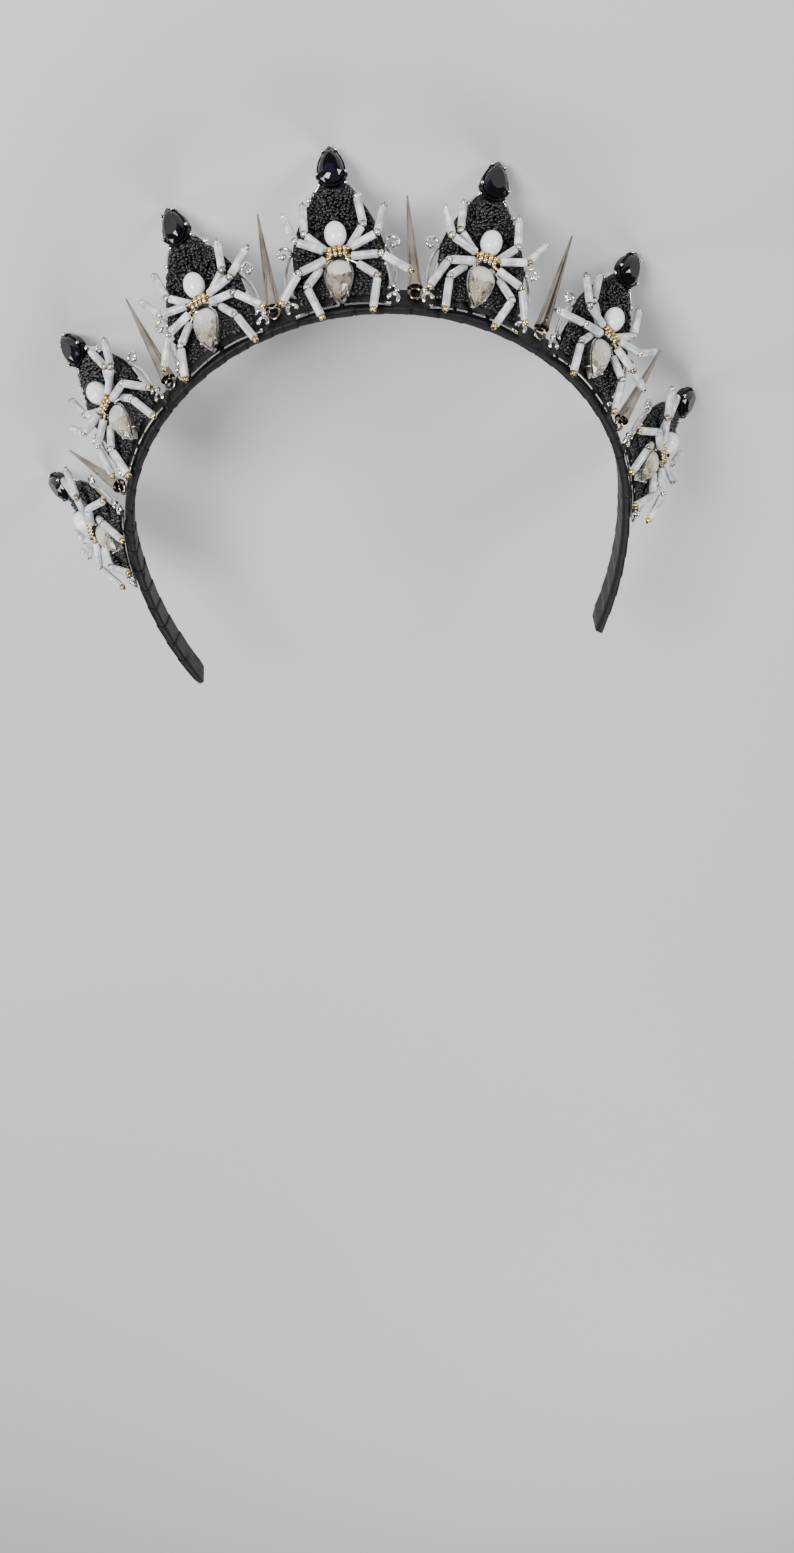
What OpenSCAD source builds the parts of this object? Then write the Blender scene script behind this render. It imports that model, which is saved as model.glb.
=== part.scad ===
// Spiked headband: a stiff hoop wrapped in ribbon carries seven beaded spider
// plaques with six metal spikes between them. The hoop's arch lies level, with
// +Y towards its top and +X to the wearer's left, and every ornament leans back
// from it, so the part rests face up on the points of its seven black stones.

/* [Band] */
// Radius of the arch, to the band's outer face
arch_r = 75.5; // [72:0.5:80]
// Width of the band, from its front edge to its back edge
band_w = 10; // [8:0.5:12]
// Thickness of the wrapped band
band_t = 2.8; // [2:0.1:3]
// Part of the width that lies in front of the ornaments
band_front = 4; // [3:0.5:5]
// Bevel along the band's four edges
band_bevel = 0.7; // [0.3:0.1:0.9]
// Radius of the inward curve of each side below the arch
side_r = 140; // [110:5:200]
// Turn of each side below the arch, in degrees
side_turn = 22; // [15:1:24]

/* [Ornaments] */
// Angle by which the ornaments lean back from the arch, in degrees
lean = 58; // [54:1:60]
// Height of the ornaments' foot above the band
foot_lift = 0.35; // [0.2:0.05:0.5]
// Gap between pieces that rest on each other
seat_gap = 0.1; // [0.05:0.05:0.2]

/* [Filigree plaque] */
// Half width of the plaque below its shoulders
plaque_half_w = 12.6; // [12:0.1:13]
// Half width of the plaque at its top
plaque_top_w = 4.2; // [3.5:0.1:5]
// Height at which the shoulders begin
shoulder_v = 14; // [12:0.5:15]
// Height of the plaque's top edge
plaque_v = 34; // [33.5:0.1:34.5]
// Half width of the plaque's foot
foot_half_w = 14.4; // [13.8:0.1:14.8]
// Thickness of the stamped plate
plate_t = 0.8; // [0.6:0.1:1]
// Thickness of the bead field in front of the plate
field_t = 0.8; // [0.6:0.1:1]
// Thickness of the round scroll wire
scroll_d = 1.1; // [0.9:0.05:1.3]

/* [Stones] */
// Half width of the black pear-shaped stones
stone_r = 3.6; // [3.3:0.1:3.8]
// Length from a black stone's widest line to its point
stone_point = 7.6; // [7:0.1:8]
// Half width of the clear pear-shaped stones
clear_r = 3.55; // [3.4:0.05:3.65]
// Length from a clear stone's widest line to its point
clear_point = 8.6; // [8:0.1:8.8]
// Number of sides round a stone's edge
stone_sides = 12; // [8:4:16]
// Height of the black stone's widest line on the plaque
black_stone_v = 37.4; // [37:0.1:37.8]

/* [Spider] */
// Height of the widest line of the clear stone that forms the abdomen
abdomen_v = 7.65; // [7.5:0.05:7.8]
// Width of the white head bead
head_w = 6; // [5.6:0.1:6.4]
// Length of the white head bead
head_l = 7.4; // [7:0.1:7.8]
// Height of the head bead's middle on the plaque
head_v = 18.2; // [18:0.1:18.6]
// Length of the white tube bead on the front and back upper legs
outer_l = 6.4; // [6:0.1:6.8]
// Length of the white tube bead on the two middle upper legs
middle_l = 7.2; // [6.5:0.1:7.4]
// Length of the white tube bead on each lower leg
lower_l = 7.6; // [6.5:0.1:8]
// Outer thickness of each white tube bead
tube_d = 2.2; // [1.9:0.1:2.3]
// Bore of the beads
bead_bore = 1.1; // [1:0.05:1.2]
// Thickness of the wire inside the beads
wire_d = 0.7; // [0.5:0.05:0.8]
// Room left for the small round bead at each knee
knee_gap = 1.6; // [1.55:0.05:1.8]

/* [Spikes] */
// Length of a spike's cone
spike_l = 29; // [24:0.5:30]
// Thickness of a spike at its base
spike_d = 4; // [3.5:0.1:4.4]
// Radius of the loop under a spike, to the middle of its wire
loop_r = 1.7; // [1.5:0.1:1.8]

/* [Hidden] */
$fn = 48;

// Each plaque, from one side to the other, as sewn on by hand: its angle along the
// arch from the top, its small turn in its own plane, how far its spider sits up
// the plaque and is turned on it, and how far the abdomen is turned at the waist
PLACE = 0;
TURN = 1;
SPIDER_UP = 2;
SPIDER_TURN = 3;
ABDOMEN_TURN = 4;
plaques = [
    [-86.5, 0, 0.4, 0, 0], [-56, -3, 0.4, 0, 4], [-27.5, 0, -0.4, 5, 4.5],
    [-0.5, 2, -1, -2, 4.5], [27, 1, 0.2, 5, 0], [56, 1, 0.4, -6, 0], [86.5, 0, 0.4, 0, 0]
];

// Each spike: its angle along the arch, its turn, and its extra lean
EXTRA = 2;
spikes = [
    [-71.5, -14, 0], [-42.5, 1, 0], [-15, 4, 4], [14.5, -4, 6], [42.5, 0, -6], [72.5, -1, -2]
];

// The hips of the right legs, from front to back: [across, up the
// plaque, above the bead field]. The left legs mirror them
hips = [[2.9, 14.4, 1.2], [3.3, 13.4, 3.5], [3.3, 11, 3.5], [5, 9.8, 1.3]];

// Rise of a leg's [upper, lower] part above the plaque, in degrees, front to back
leg_rise = [[16, -6], [9, -10], [9, -18], [16, -12]];
// Distance along a leg from its hip to its first tube
hip_room = 0.5;

// How each spider holds its legs: the bearings of [upper, lower] part in degrees,
// clockwise from the top of the plaque. The first four legs are on the left, from
// front to back, and the last four on the right
leg_poses = [
    [[-48, -15], [-75, -25], [-108, -150], [-150, 165], [45, 5], [80, 35], [110, 140], [150, -160]],
    [[-52, -10], [-82, -30], [-115, -150], [-152, -165], [50, -10], [78, 18], [110, 150], [145, 175]],
    [[-55, -15], [-85, -35], [-114, -142], [-148, -165], [62, 3], [86, 46], [102, 136], [142, 162]],
    [[-48, 3], [-66, -16], [-115, -138], [-144, 160], [42, -5], [72, 18], [98, 122], [138, -164]],
    [[-60, -5], [-82, -20], [-116, -162], [-146, 170], [40, -9], [72, 26], [113, 153], [142, -162]],
    [[-62, 0], [-84, -20], [-108, -96], [-142, 165], [55, 0], [85, 50], [112, 90], [142, 165]],
    [[-48, -5], [-78, -30], [-108, -145], [-150, 162], [50, 15], [80, 45], [112, 135], [150, -165]]
];

// Scrolls of bent round wire on the right of a plaque, mirrored on the left:
// [across, up, heading, end ball, steps], where each step is [bend radius, turn]
// and a turn to the left is positive
scrolls = [
    [14.4, 3, -14, 2, [[17, 40], [1.75, -200], [1.0, -120]]],
    [13.2, 2.5, 0, 1.3, [[30, 13]]],
    [14.4, -2.4, -60, 1.6, [[1.4, 190], [1.0, 30]]],
    [12.6, 1.6, -10, 1.8, [[1.2, -190]]],
    [6.9, 28.4, 8, 1.7, [[11, 38]]],
    [6.8, 30.4, 0, 2, []]
];

// Round holes stamped through the plate: [across, up, radius], mirrored unless
// they lie on the middle line
holes = [
    [0, 4, 2.2], [0, 10, 2.4], [0, 16, 2.4], [0, 22, 2.2], [0, 27.4, 1.8],
    [6, 2.6, 2], [6.3, 8.4, 2.3], [6.1, 14.2, 2.2], [5.4, 20, 2], [10.6, 11.4, 1.3]
];

// Prongs round a black stone and small claws round a clear one, as places on the
// outline from 0 at the point to 1
prongs = [0.07, 0.27, 0.73, 0.93];
claws = [0.09, 0.38, 0.62, 0.91];

foot_r = arch_r + foot_lift;
field_o = plate_t + seat_gap;
field_top = field_o + field_t;
cup_wall = 0.35;
cup_room = 0.12;
cup_floor = 0.5;
cup_depth = 1.6;
stone_belt = 1.4;
stone_crown = 1.7;
black_cup_o = plate_t - 0.3;
abdomen_o = field_top + seat_gap;
field_inset = 1.3;
rail_t = 0.7;
waist = [4.8, 2.4, 2.6];
waist_v = abdomen_v + clear_r + cup_room + cup_wall + waist.y / 2 - 0.2;
waist_o = field_top + 2.4;
head_o = field_top + head_w / 2 + seat_gap;
plaque_point = black_stone_v + stone_point + cup_room + cup_wall;
// Height of the arch's middle plane when the stones' points touch the surface
arch_z = plaque_point * sin(lean);
prong_tip = cup_floor + stone_belt + 0.5;
prong_d = 0.8;
claw_d = 0.5;

silver = [0.75, 0.75, 0.77];
gold = [0.72, 0.55, 0.25];
black = [0.04, 0.04, 0.05];

// Half width of the plaque at height v: straight, then drawn in above the shoulders
function half_w(v) =
    v <= shoulder_v ? plaque_half_w
    : plaque_top_w + (plaque_half_w - plaque_top_w)
        * (1 - pow((v - shoulder_v) / (plaque_v - shoulder_v), 1.6));

// The plaque's outline from its foot to its top, drawn in by inset
function plaque_outline(inset) =
    let (levels = [-5, for (k = [0:8]) shoulder_v + k * (plaque_v - inset - shoulder_v) / 8])
    concat(
        [for (v = levels) [half_w(v) - inset, v]],
        [for (k = [len(levels) - 1:-1:0]) [inset - half_w(levels[k]), levels[k]]]
    );

// Radius of a pear's two long sides, which bow out from its widest line to its point
function flank_r(r, point) = (r * r + point * point) / (2 * r);

// A place on the pear's outline, with u from 0 at the point round to 1
function pear_at(u, r, point) =
    let (
        flank = flank_r(r, point),
        side = u > 0.5 ? -1 : 1,
        q = 4 * (u > 0.5 ? 1 - u : u),
        bow = asin(point / flank) * (1 - q),
        turn = 90 * (q - 1)
    )
    q < 1 ? [side * (flank * cos(bow) - flank + r), flank * sin(bow)]
    : [side * r * cos(turn), -r * sin(turn)];

module pear(r, point) {
    flank = flank_r(r, point);
    circle(r = r);
    intersection() {
        translate([r - flank, 0]) circle(r = flank, $fn = 96);
        translate([flank - r, 0]) circle(r = flank, $fn = 96);
        translate([-r, 0]) square([2 * r, point + 1]);
    }
}

// How far the part reaches along Y from the arch's middle: back to the band's ends,
// and forward to the prongs at the point of the top plaque's black stone
reach_back = side_r * sin(side_turn);
reach_front = foot_r + 0.5 + (black_cup_o + prong_tip) * sin(lean) + cos(lean)
    * (black_stone_v + pear_at(prongs[0], stone_r + cup_wall, stone_point + cup_wall).y);
arch_y = (reach_back - reach_front) / 2;

// Puts an ornament's foot on the arch: x runs across it, y up it and z out of it
module on_arch(place, tilt, turn)
    translate([0, arch_y, 0]) rotate([0, 0, -place]) translate([0, foot_r, arch_z])
        rotate([-tilt, 0, 0]) rotate([0, 0, -turn]) children();

module on_plaque(i)
    on_arch(plaques[i - 1][PLACE], lean, plaques[i - 1][TURN]) children();

// Puts a piece on the plaque's spider, which turns about its waist
module on_spider(i)
    on_plaque(i) translate([0, waist_v + plaques[i - 1][SPIDER_UP], 0])
        rotate([0, 0, -plaques[i - 1][SPIDER_TURN]]) translate([0, -waist_v, 0]) children();

// The room inside the band's outer face, grown by a gap or by a rail
module band_room(grow)
    translate([0, arch_y, arch_z - 2 * band_w]) {
        cylinder(r = arch_r + grow, h = 4 * band_w, $fn = 180);
        translate([0.02 - arch_r - grow, -side_r / 2, 0])
            cube([2 * (arch_r + grow - 0.02), side_r / 2, 4 * band_w]);
    }

module band_section()
    polygon([
        [-band_t, band_bevel], [band_bevel - band_t, 0], [-band_bevel, 0], [0, band_bevel],
        [0, band_w - band_bevel], [-band_bevel, band_w],
        [band_bevel - band_t, band_w], [-band_t, band_w - band_bevel]
    ]);

// One side below the arch, with the corners of its end cut off
module band_side() {
    corner = band_w / 4;
    translate([arch_r - side_r, 0, 0]) mirror([0, 1, 0]) difference() {
        rotate_extrude(angle = side_turn, $fn = 360)
            translate([side_r, 0]) band_section();
        for (level = [0, band_w])
            rotate([0, 0, side_turn]) translate([side_r - band_t / 2, 0, level])
                rotate([45, 0, 0])
                    cube([3 * band_t, corner * sqrt(2), corner * sqrt(2)], center = true);
    }
}

module band()
    color(black) translate([0, arch_y, arch_z + band_front - band_w]) {
        rotate_extrude(angle = 180, $fn = 360) translate([arch_r, 0]) band_section();
        band_side();
        mirror([1, 0, 0]) band_side();
    }

// A faceted pear: a small flat back, a belt, a ring of kites and a flat table
module stone(r, length) {
    n = stone_sides;
    // Each ring: [height, share of the outline, offset along it]
    rings = [
        [0, 0.45, 0], [stone_belt - 0.15, 1, 0], [stone_belt + 0.15, 1, 0],
        [stone_belt + 0.6 * stone_crown, 0.84, 0.5], [stone_belt + stone_crown, 0.58, 0]
    ];
    centre = [0, length / 5];
    points = [
        for (ring = rings, k = [0:n - 1])
            let (p = pear_at((k + ring[2]) / n, r, length) - centre)
            [p.x * ring[1] + centre.x, p.y * ring[1] + centre.y, ring[0]]
    ];
    // Triangles between ring a and the next one, which may lie half a step along
    function belt(a, shifted) = [
        for (k = [0:n - 1])
            let (low = a * n + k, low2 = a * n + (k + 1) % n, up = low + n, up2 = low2 + n)
            each (shifted ? [[low, low2, up], [low2, up2, up]] : [[low, up2, up], [low, low2, up2]])
    ];
    // The table lies half a step behind the ring of kites
    function crown(a) = [
        for (k = [0:n - 1])
            let (low = a * n + k, low2 = a * n + (k + 1) % n, up2 = a * n + n + (k + 1) % n, up = low + n)
            each [[low, up2, up], [low, low2, up2]]
    ];
    polyhedron(
        points = points,
        faces = concat(
            [[for (k = [n - 1:-1:0]) k]], belt(0, false), belt(1, false), belt(2, true), crown(3),
            [[for (k = [0:n - 1]) 4 * n + k]]
        )
    );
}

// The metal cup of a stone: a floor, a thin wall and a prong at four places
module stone_cup(stone_half, stone_length, prong, places) {
    r = stone_half + cup_room;
    point = stone_length + cup_room;
    linear_extrude(height = cup_floor) pear(r + cup_wall, point + cup_wall);
    difference() {
        linear_extrude(height = cup_depth) pear(r + cup_wall, point + cup_wall);
        translate([0, 0, -1]) linear_extrude(height = cup_depth + 2) pear(r, point);
    }
    for (u = places) {
        place = pear_at(u, r + cup_wall, point + cup_wall);
        translate([place.x, place.y, 0]) {
            cylinder(d = prong, h = prong_tip, $fn = 16);
            translate([0, 0, prong_tip]) sphere(d = 1.25 * prong, $fn = 16);
        }
    }
}

module on_black_cup(i)
    on_plaque(i) translate([0, black_stone_v, black_cup_o]) children();

module on_abdomen(i)
    on_spider(i) translate([0, waist_v, abdomen_o]) rotate([0, 0, -plaques[i - 1][ABDOMEN_TURN]])
        translate([0, abdomen_v - waist_v, 0]) rotate([0, 0, 180]) children();

module black_stone(i)
    color([0.03, 0.03, 0.05]) on_black_cup(i) translate([0, 0, cup_floor + seat_gap])
        stone(stone_r, stone_point);

module clear_stone(i)
    color([0.85, 0.82, 0.76]) on_abdomen(i) translate([0, 0, cup_floor + seat_gap])
        stone(clear_r, clear_point);

// A bent round wire that starts at the origin towards +Y
module bent_wire(steps, ball, k = 0) {
    if (k == len(steps)) {
        rotate([0, 0, k > 0 ? 180 : 0]) sphere(d = ball, $fn = 24);
    } else {
        r = steps[k][0];
        turn = steps[k][1];
        side = turn < 0 ? -1 : 1;
        translate([-side * r, 0, 0])
            rotate([0, 0, side < 0 ? 180 + turn : 0])
                rotate_extrude(angle = abs(turn), $fn = 64)
                    translate([r, 0]) circle(d = scroll_d, $fn = 16);
        translate([side * r * (cos(turn) - 1), r * sin(abs(turn)), 0])
            rotate([0, 0, turn]) {
                if (k + 1 < len(steps)) sphere(d = 1.12 * scroll_d, $fn = 24);
                bent_wire(steps, ball, k + 1);
            }
    }
}

module scroll_pair(scroll)
    for (side = [0, 1]) mirror([side, 0, 0])
        translate([scroll[0], scroll[1], scroll_d / 2 + 0.1]) rotate([0, 0, scroll[2]])
            bent_wire(scroll[4], scroll[3]);

module stamped_plate()
    linear_extrude(height = plate_t) difference() {
        union() {
            polygon(plaque_outline(0));
            translate([-foot_half_w, -5]) square([2 * foot_half_w, 8.4]);
            translate([0, black_stone_v])
                pear(stone_r + cup_room + cup_wall, stone_point + cup_room + cup_wall);
        }
        for (hole = holes, side = hole[0] == 0 ? [1] : [-1, 1])
            translate([side * hole[0], hole[1]]) circle(r = hole[2], $fn = 32);
    }

// The rail that follows the band along the plaque's foot
module foot_rail(i)
    intersection() {
        on_plaque(i) translate([1.5 - foot_half_w, -6, 0])
            cube([2 * foot_half_w - 3, 8, plate_t + 0.6]);
        band_room(rail_t);
    }

module filigree(i)
    color(silver) difference() {
        union() {
            on_plaque(i) {
                stamped_plate();
                for (scroll = scrolls) scroll_pair(scroll);
            }
            foot_rail(i);
            on_black_cup(i) stone_cup(stone_r, stone_point, prong_d, prongs);
        }
        band_room(seat_gap);
    }

// The field of small beads, as one low cushion on the plate
module beadwork(i)
    color(black) difference() {
        on_plaque(i) translate([0, 0, field_o]) linear_extrude(height = field_t)
            polygon(plaque_outline(field_inset));
        band_room(rail_t + seat_gap);
        on_black_cup(i) cylinder(r = stone_r + cup_room + cup_wall + 0.2, h = 3, $fn = 64);
    }

// Unit vector of a leg part with a bearing across the plaque and a rise above it
function along(bearing, rise) =
    [sin(bearing) * cos(rise), cos(bearing) * cos(rise), sin(rise)];

// Turns +Z to the direction of a unit vector
module pointed(way)
    rotate([0, acos(way.z), atan2(way.y, way.x)]) children();

// The places that a leg's wire joins: the waist, its hip, its knee and its free end
function hip_at(leg) =
    let (hip = hips[leg % 4]) [(leg < 4 ? -1 : 1) * hip.x, hip.y, field_top + hip.z];
function waist_at(leg) =
    let (hip = hip_at(leg), far = leg % 4 == 0 || leg % 4 == 3 ? 0.32 : 0.24) [
        0.3 * waist.x * sign(hip.x),
        waist_v + far * waist.y * sign(hip.y - waist_v),
        waist_o + 0.24 * waist.z * sign(hip.z - waist_o)
    ];
function upper_l(leg) = leg % 4 == 0 || leg % 4 == 3 ? outer_l : middle_l;
function upper_way(i, leg) = along(leg_poses[i - 1][leg][0], leg_rise[leg % 4][0]);
function lower_way(i, leg) = along(leg_poses[i - 1][leg][1], leg_rise[leg % 4][1]);
function knee_at(i, leg) = hip_at(leg) + (hip_room + upper_l(leg) + knee_gap / 2) * upper_way(i, leg);
function end_at(i, leg) = knee_at(i, leg) + (lower_l + 1.6 * knee_gap) * lower_way(i, leg);

module tube_bead(length)
    difference() {
        cylinder(d = tube_d, h = length, $fn = 32);
        translate([0, 0, -1]) cylinder(d = bead_bore, h = length + 2, $fn = 24);
    }

module leg_beads(i)
    color([0.92, 0.92, 0.94]) on_spider(i) for (leg = [0:7]) {
        translate(hip_at(leg)) pointed(upper_way(i, leg))
            translate([0, 0, hip_room]) tube_bead(upper_l(leg));
        translate(knee_at(i, leg)) pointed(lower_way(i, leg))
            translate([0, 0, knee_gap / 2]) tube_bead(lower_l);
    }

module wire(from, to)
    translate(from) pointed((to - from) / norm(to - from))
        cylinder(d = wire_d, h = norm(to - from), $fn = 16);

// The waist, the wires through the legs and the head, and the abdomen's cup
module spider_frame(i)
    color(gold) {
        on_spider(i) {
            translate([0, waist_v, waist_o]) cube(waist, center = true);
            wire([0, waist_v, head_o], [0, head_v + head_l / 2 + 0.6, head_o]);
            translate([0, head_v + head_l / 2 + 0.85, head_o]) sphere(d = 1.4, $fn = 16);
            for (leg = [0:7]) {
                wire(waist_at(leg), hip_at(leg));
                wire(hip_at(leg), knee_at(i, leg));
                wire(knee_at(i, leg), end_at(i, leg));
                translate(hip_at(leg)) pointed(upper_way(i, leg)) sphere(d = wire_d + 0.1, $fn = 16);
                translate(knee_at(i, leg)) pointed(lower_way(i, leg)) sphere(d = wire_d + 0.1, $fn = 16);
            }
        }
        on_abdomen(i) stone_cup(clear_r, clear_point, claw_d, claws);
    }

// An oval bead, bored along its length
module head_bead(i)
    color("white") on_spider(i) translate([0, head_v, head_o]) rotate([-90, 0, 0])
        rotate_extrude($fn = 32) polygon([
            [bead_bore / 2, -0.98 * head_l / 2], [bead_bore / 2, 0.98 * head_l / 2],
            for (a = [75:-15:-75]) [head_w / 2 * cos(a), head_l / 2 * sin(a)]
        ]);

module spike(i)
    color([0.62, 0.58, 0.54]) difference() {
        on_arch(spikes[i - 1][PLACE], lean + spikes[i - 1][EXTRA], spikes[i - 1][TURN]) {
            translate([0, loop_r, 0]) rotate_extrude($fn = 48)
                translate([loop_r, 0]) circle(d = 0.9, $fn = 16);
            translate([0, 2 * loop_r, 0]) rotate([-90, 0, 0]) {
                cylinder(d = spike_d + 0.3, h = 0.7);
                translate([0, 0, 0.7]) cylinder(d1 = spike_d, d2 = 0.5, h = spike_l);
            }
        }
        band_room(seat_gap);
    }

band();
for (i = [1:len(plaques)]) {
    filigree(i);
    beadwork(i);
    black_stone(i);
    clear_stone(i);
    head_bead(i);
    leg_beads(i);
    spider_frame(i);
}
for (i = [1:len(spikes)])
    spike(i);
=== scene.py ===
import math
import random
from collections import namedtuple

import bmesh
import bpy
from mathutils import Matrix, Vector


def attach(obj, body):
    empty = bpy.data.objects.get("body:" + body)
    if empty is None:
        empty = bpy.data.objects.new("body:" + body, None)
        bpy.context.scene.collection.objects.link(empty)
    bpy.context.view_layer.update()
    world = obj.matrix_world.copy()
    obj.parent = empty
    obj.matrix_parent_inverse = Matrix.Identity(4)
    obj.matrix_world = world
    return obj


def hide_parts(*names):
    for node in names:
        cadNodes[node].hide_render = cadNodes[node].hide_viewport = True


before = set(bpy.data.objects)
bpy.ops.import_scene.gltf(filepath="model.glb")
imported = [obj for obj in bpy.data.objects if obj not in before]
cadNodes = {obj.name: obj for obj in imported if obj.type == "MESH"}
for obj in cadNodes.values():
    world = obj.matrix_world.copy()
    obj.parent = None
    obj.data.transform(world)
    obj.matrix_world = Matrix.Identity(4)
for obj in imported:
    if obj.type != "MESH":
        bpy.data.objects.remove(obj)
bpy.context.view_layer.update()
mm = 0.001
fullTurn = 6.28  # for beads turned at random

# Where the ornaments sit on the hoop, as in the part

plaqueRow = namedtuple("plaqueRow", "angle turn up spiderTurn abdomenTurn")
layout = {
    "archRadius": 75.5 * mm,
    "footLift": 0.35 * mm,
    "archY": -24.72 * mm,
    "archZ": 38.56 * mm,
    "lean": 58,
    "waistUp": 12.67 * mm,
    # each plaque's angle along the arch and own turn, how far up it its spider sits (mm),
    # and the turns of the spider on it and of the abdomen at the waist, in degrees
    "plaques": [plaqueRow(*row) for row in (
        (-86.5, 0, 0.4, 0, 0), (-56, -3, 0.4, 0, 4), (-27.5, 0, -0.4, 5, 4.5), (-0.5, 2, -1, -2, 4.5),
        (27, 1, 0.2, 5, 0), (56, 1, 0.4, -6, 0), (86.5, 0, 0.4, 0, 0),
    )],
    "spikes": (-71.5, -42.5, -15, 14.5, 42.5, 72.5),  # angles along the arch
}


def turned(degrees, axis="Z"):
    return Matrix.Rotation(math.radians(degrees), 4, axis)


def onPlaque(row):
    around = Matrix.Translation((0, layout["archY"], 0)) @ turned(-row.angle)
    foot = Matrix.Translation((0, layout["archRadius"] + layout["footLift"], layout["archZ"]))
    return around @ foot @ (turned(-layout["lean"], "X") @ turned(-row.turn))


def aboutWaist(turn):
    pivot = Matrix.Translation((0, layout["waistUp"], 0))
    return pivot @ turned(-turn) @ pivot.inverted()


def onSpider(row):
    return onPlaque(row) @ Matrix.Translation((0, row.up * mm, 0)) @ aboutWaist(row.spiderTurn)


# Small helpers for node trees


def addNode(tree, kind, inputs=None, **settings):
    made = tree.nodes.new(kind)
    for key, value in settings.items():
        setattr(made, key, value)
    for key, value in (inputs or {}).items():
        if isinstance(value, bpy.types.NodeSocket):
            tree.links.new(value, made.inputs[key])
        else:
            made.inputs[key].default_value = value
    return made


def firstOf(tree, kind, inputs=None, **settings):
    return addNode(tree, kind, inputs, **settings).outputs[0]


def calc(tree, operation, a, b=0.0):
    return firstOf(tree, "ShaderNodeMath", {0: a, 1: b}, operation=operation)


def calcVector(tree, operation, inputs):
    return firstOf(tree, "ShaderNodeVectorMath", inputs, operation=operation)


def combine(tree, x=0.0, y=0.0, z=0.0):
    return firstOf(tree, "ShaderNodeCombineXYZ", {"X": x, "Y": y, "Z": z})


def partsOf(tree, vector):
    return addNode(tree, "ShaderNodeSeparateXYZ", {0: vector}).outputs


def randomFloat(tree, low, high, seed):
    inputs = {2: low, 3: high, "Seed": seed}
    return addNode(tree, "FunctionNodeRandomValue", inputs, data_type="FLOAT").outputs[1]


def turnBy(tree, angles):
    return firstOf(tree, "FunctionNodeEulerToRotation", {0: angles})


def vectorAttribute(tree, name):
    return firstOf(tree, "GeometryNodeInputNamedAttribute", {"Name": name}, data_type="FLOAT_VECTOR")


def shapeOf(tree, socket, whole=False):
    # an object's shape, as one instance where it is kept whole
    info = addNode(tree, "GeometryNodeObjectInfo", {"Object": socket, "As Instance": whole})
    return info.outputs["Geometry"]


def curveOf(tree, shape):
    return firstOf(tree, "GeometryNodeMeshToCurve", {"Mesh": shape})


def smoothed(tree, shape):
    return firstOf(tree, "GeometryNodeSetShadeSmooth", {"Geometry": shape, "Shade Smooth": True})


def newTree(name, sockets):
    tree = bpy.data.node_groups.new(name, "GeometryNodeTree")
    tree.is_modifier = True
    tree.interface.new_socket("Geometry", in_out="INPUT", socket_type="NodeSocketGeometry")
    for label, kind in sockets:
        tree.interface.new_socket(label, in_out="INPUT", socket_type="NodeSocket" + kind)
    tree.interface.new_socket("Geometry", in_out="OUTPUT", socket_type="NodeSocketGeometry")
    return tree, tree.nodes.new("NodeGroupInput").outputs, tree.nodes.new("NodeGroupOutput").inputs


def endTree(tree, geometry, given, result):
    real = firstOf(tree, "GeometryNodeRealizeInstances", {"Geometry": geometry})
    dressed = firstOf(tree, "GeometryNodeSetMaterial", {"Geometry": real, "Material": given["Material"]})
    tree.links.new(dressed, result["Geometry"])
    return tree


def runTree(obj, tree, values):
    modifier = obj.modifiers.new(tree.name, "NODES")
    modifier.node_group = tree
    for item in tree.interface.items_tree:
        if item.item_type == "SOCKET" and item.in_out == "INPUT" and item.name in values:
            modifier[item.identifier] = values[item.name]
    graph = bpy.context.evaluated_depsgraph_get()
    made = obj.evaluated_get(graph)
    mesh = bpy.data.meshes.new_from_object(made, preserve_all_data_layers=True, depsgraph=graph)
    obj.modifiers.clear()
    obj.data = mesh
    return obj


# Small helpers for meshes


def makeObject(name, mesh, material=None):
    obj = bpy.data.objects.new(name, mesh)
    bpy.context.scene.collection.objects.link(obj)
    if material:
        mesh.materials.append(material)
    return obj


def meshOf(name, points, faces, edges=()):
    mesh = bpy.data.meshes.new(name)
    mesh.from_pydata([tuple(p) for p in points], list(edges), faces)
    mesh.update()
    return mesh


def loopObject(name, loop):
    edges = [(k, (k + 1) % len(loop)) for k in range(len(loop))]
    return makeObject(name, meshOf(name, [(x, y, 0) for x, y in loop], [], edges))


def objectFrom(name, work, material=None):
    mesh = bpy.data.meshes.new(name)
    work.to_mesh(mesh)
    work.free()
    return makeObject(name, mesh, material)


def faceOutward(mesh):
    work = bmesh.new()
    work.from_mesh(mesh)
    bmesh.ops.recalc_face_normals(work, faces=work.faces)
    work.to_mesh(mesh)
    work.free()


def turnedShape(name, profile, sides, material=None):
    # profile is a closed outline of (radius, height), turned round Z, with its own UV map
    points = [
        (r * math.cos(2 * math.pi * k / sides), r * math.sin(2 * math.pi * k / sides), z)
        for k in range(sides) for r, z in profile
    ]
    count = len(profile)
    faces = []
    for k in range(sides):
        here, there = k * count, (k + 1) % sides * count
        faces += [
            (here + j, there + j, there + (j + 1) % count, here + (j + 1) % count) for j in range(count)
        ]
    mesh = meshOf(name, points, faces)
    uv = mesh.uv_layers.new(name="UVMap")
    for face in mesh.polygons:
        k, j = divmod(face.index, count)
        for loop, (a, b) in zip(face.loop_indices, ((k, j), (k + 1, j), (k + 1, j + 1), (k, j + 1))):
            uv.data[loop].uv = (a / sides, b / count)
    faceOutward(mesh)
    mesh.shade_smooth()
    return makeObject(name, mesh, material)


def drop(*objs):
    for obj in objs:
        bpy.data.objects.remove(obj)


# Materials


def newMaterial(name):
    material = bpy.data.materials.new(name)
    material.use_nodes = True
    return material, material.node_tree, material.node_tree.nodes["Principled BSDF"]


def rampBetween(tree, factor, stops):
    made = addNode(tree, "ShaderNodeValToRGB", {"Fac": factor})
    ramp = made.color_ramp
    while len(ramp.elements) < len(stops):
        ramp.elements.new(0.5)
    for element, (place, colour) in zip(ramp.elements, stops):
        element.position = place
        element.color = (*colour, 1)
    return made.outputs["Color"]


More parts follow.
